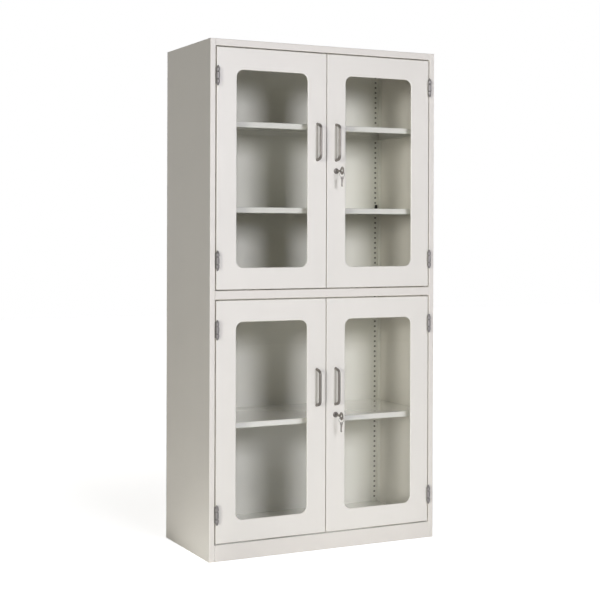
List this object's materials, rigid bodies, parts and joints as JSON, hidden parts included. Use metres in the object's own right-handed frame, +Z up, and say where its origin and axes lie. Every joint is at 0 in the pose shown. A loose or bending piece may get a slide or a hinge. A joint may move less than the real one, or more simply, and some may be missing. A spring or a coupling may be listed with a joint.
{
  "type": "glassware cabinet",
  "caption": "Tall steel laboratory cabinet with glazed hinged doors above and below, bow handles, cam locks with keys, and adjustable shelves for glassware",
  "frame": {"origin": "on the floor, under the middle of the whole object's bounding box, keys and handles included", "axes": "+Z is up, the doors face -Y, and +X is to the right of someone who stands in front of the cabinet"},
  "size_m": [0.9, 0.48, 1.8],
  "materials": {
    "frame_paint": "pale warm-grey powder coat with a fine orange-peel texture",
    "door_paint": "pale warm-grey powder coat, satin",
    "inner_paint": "light grey powder coat, satin",
    "glass": "clear float glass",
    "chrome": "polished chrome plate",
    "hinge_steel": "dull zinc-plated steel",
    "key_nickel": "nickel-plated steel"
  },
  "bodies": {
    "cabinet": {"left_side_panel": "frame_paint", "right_side_panel": "frame_paint", "top_panel": "frame_paint", "base_panel": "inner_paint", "plinth_rail": "frame_paint", "middle_divider": "frame_paint", "back_panel": "inner_paint", "left_front_upright": "inner_paint", "left_rear_upright": "inner_paint", "right_front_upright": "inner_paint", "right_rear_upright": "inner_paint", "upper_top_shelf": "inner_paint", "upper_top_shelf_left_bearer": "inner_paint", "upper_top_shelf_right_bearer": "inner_paint", "upper_lower_shelf": "inner_paint", "upper_lower_shelf_left_bearer": "inner_paint", "upper_lower_shelf_right_bearer": "inner_paint", "lower_shelf": "inner_paint", "lower_shelf_left_bearer": "inner_paint", "lower_shelf_right_bearer": "inner_paint", "upper_left_door_top_hinge_frame_half": "hinge_steel", "upper_left_door_bottom_hinge_frame_half": "hinge_steel", "upper_right_door_top_hinge_frame_half": "hinge_steel", "upper_right_door_bottom_hinge_frame_half": "hinge_steel", "lower_left_door_top_hinge_frame_half": "hinge_steel", "lower_left_door_bottom_hinge_frame_half": "hinge_steel", "lower_right_door_top_hinge_frame_half": "hinge_steel", "lower_right_door_bottom_hinge_frame_half": "hinge_steel"},
    "upper_left_door": {"upper_left_door_shell": "door_paint", "upper_left_door_liner": "inner_paint", "upper_left_door_glass": "glass", "upper_left_door_handle": "chrome", "upper_left_door_top_hinge_door_half": "hinge_steel", "upper_left_door_bottom_hinge_door_half": "hinge_steel"},
    "upper_right_door": {"upper_right_door_shell": "door_paint", "upper_right_door_liner": "inner_paint", "upper_right_door_glass": "glass", "upper_right_door_handle": "chrome", "upper_right_door_top_hinge_door_half": "hinge_steel", "upper_right_door_bottom_hinge_door_half": "hinge_steel", "upper_lock_body": "chrome"},
    "lower_left_door": {"lower_left_door_shell": "door_paint", "lower_left_door_liner": "inner_paint", "lower_left_door_glass": "glass", "lower_left_door_handle": "chrome", "lower_left_door_top_hinge_door_half": "hinge_steel", "lower_left_door_bottom_hinge_door_half": "hinge_steel"},
    "lower_right_door": {"lower_right_door_shell": "door_paint", "lower_right_door_liner": "inner_paint", "lower_right_door_glass": "glass", "lower_right_door_handle": "chrome", "lower_right_door_top_hinge_door_half": "hinge_steel", "lower_right_door_bottom_hinge_door_half": "hinge_steel", "lower_lock_body": "chrome"},
    "upper_lock_rotor": {"upper_lock_plug": "key_nickel", "upper_key": "key_nickel"},
    "lower_lock_rotor": {"lower_lock_plug": "key_nickel", "lower_key": "key_nickel"},
    "upper_spare": {"upper_spare_key": "key_nickel"},
    "lower_spare": {"lower_spare_key": "key_nickel"}
  },
  "joints": [
    {"name": "upper_left_door_hinge", "type": "hinge", "parent": "cabinet", "child": "upper_left_door", "pos_m": [-0.425, -0.1885, 1.354], "axis": [0, 0, -1], "range_deg": [0, 170]},
    {"name": "upper_right_door_hinge", "type": "hinge", "parent": "cabinet", "child": "upper_right_door", "pos_m": [0.425, -0.1885, 1.354], "axis": [0, 0, 1], "range_deg": [0, 170]},
    {"name": "lower_left_door_hinge", "type": "hinge", "parent": "cabinet", "child": "lower_left_door", "pos_m": [-0.425, -0.1885, 0.48], "axis": [0, 0, -1], "range_deg": [0, 170]},
    {"name": "lower_right_door_hinge", "type": "hinge", "parent": "cabinet", "child": "lower_right_door", "pos_m": [0.425, -0.1885, 0.48], "axis": [0, 0, 1], "range_deg": [0, 170]},
    {"name": "upper_lock_turn", "type": "hinge", "parent": "upper_right_door", "child": "upper_lock_rotor", "pos_m": [0.038, -0.18, 1.354], "axis": [0, 1, 0], "range_deg": [0, 90]},
    {"name": "lower_lock_turn", "type": "hinge", "parent": "lower_right_door", "child": "lower_lock_rotor", "pos_m": [0.038, -0.18, 0.48], "axis": [0, 1, 0], "range_deg": [0, 90]},
    {"name": "upper_spare_key_swing", "type": "hinge", "parent": "upper_lock_rotor", "child": "upper_spare", "pos_m": [0.038, -0.2255, 1.3445], "axis": [0, 1, 0], "range_deg": [-90, 0]},
    {"name": "lower_spare_key_swing", "type": "hinge", "parent": "lower_lock_rotor", "child": "lower_spare", "pos_m": [0.038, -0.2255, 0.4705], "axis": [0, 1, 0], "range_deg": [-90, 0]}
  ],
  "couplings": [
    {"joint": "upper_spare_key_swing", "follows": "upper_lock_turn", "ratio": -1},
    {"joint": "lower_spare_key_swing", "follows": "lower_lock_turn", "ratio": -1}
  ]
}
